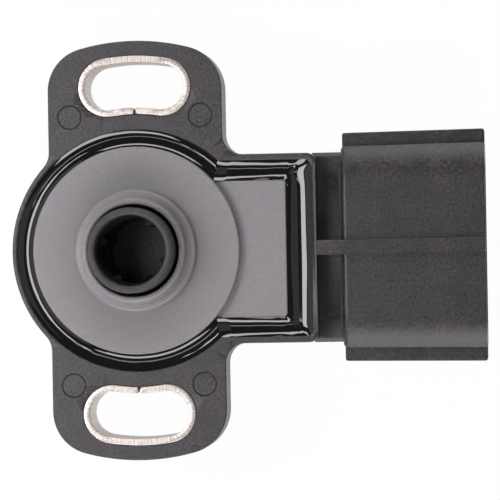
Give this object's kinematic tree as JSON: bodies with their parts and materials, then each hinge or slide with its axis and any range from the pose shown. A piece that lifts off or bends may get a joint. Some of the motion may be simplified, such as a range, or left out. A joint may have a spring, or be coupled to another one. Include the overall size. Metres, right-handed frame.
{
  "type": "throttle position sensor",
  "caption": "Rotary sensor with a round potted housing, slotted fixing ears with steel sleeves, a spring-returned drive socket, and a rectangular connector shell.",
  "frame": {"origin": "on the rotor's axis, in the plane of the ears' mating faces", "axes": "+Z along the rotor's axis towards the throttle body, +X along the connector out of its mouth, +Y to the upper ear"},
  "size_m": [0.0543, 0.0482, 0.0216],
  "materials": {
    "black_plastic": "matt glass-filled moulding",
    "grey_plastic": "matt moulding",
    "potting": "glossy cured resin",
    "sleeve_steel": "sheared strip, bare",
    "rotor_plastic": "satin moulding",
    "bush_bronze": "sintered bronze",
    "seal_rubber": "smooth",
    "spring_steel": "drawn wire",
    "board_laminate": "flat laminate",
    "carbon_film": "printed carbon ink",
    "silver_film": "printed silver ink",
    "terminal_brass": "bright stamped strip",
    "solder": "bright"
  },
  "bodies": {
    "base": {"housing": "black_plastic", "cover_plate": "grey_plastic", "seal_bead": "potting", "upper_sleeve": "sleeve_steel", "lower_sleeve": "sleeve_steel", "rotor_bush": "bush_bronze", "shaft_seal": "seal_rubber", "return_spring": "spring_steel", "resistor_board": "board_laminate", "resistive_track": "carbon_film", "collector_track": "carbon_film", "conductor_traces": "silver_film", "terminal_supply": "terminal_brass", "terminal_signal": "terminal_brass", "terminal_ground": "terminal_brass", "solder_supply": "solder", "solder_signal": "solder", "solder_ground": "solder"},
    "turning_rotor": {"rotor": "rotor_plastic", "brush": "terminal_brass"}
  },
  "joints": [
    {"name": "rotor_turn", "type": "hinge", "parent": "base", "child": "turning_rotor", "pos_m": [0, 0, 0], "axis": [0, 0, 1], "range_deg": [0, 105], "stiffness_Nm_per_rad": 0.006, "springref_deg": -57.3, "deforming": ["return_spring"]}
  ]
}
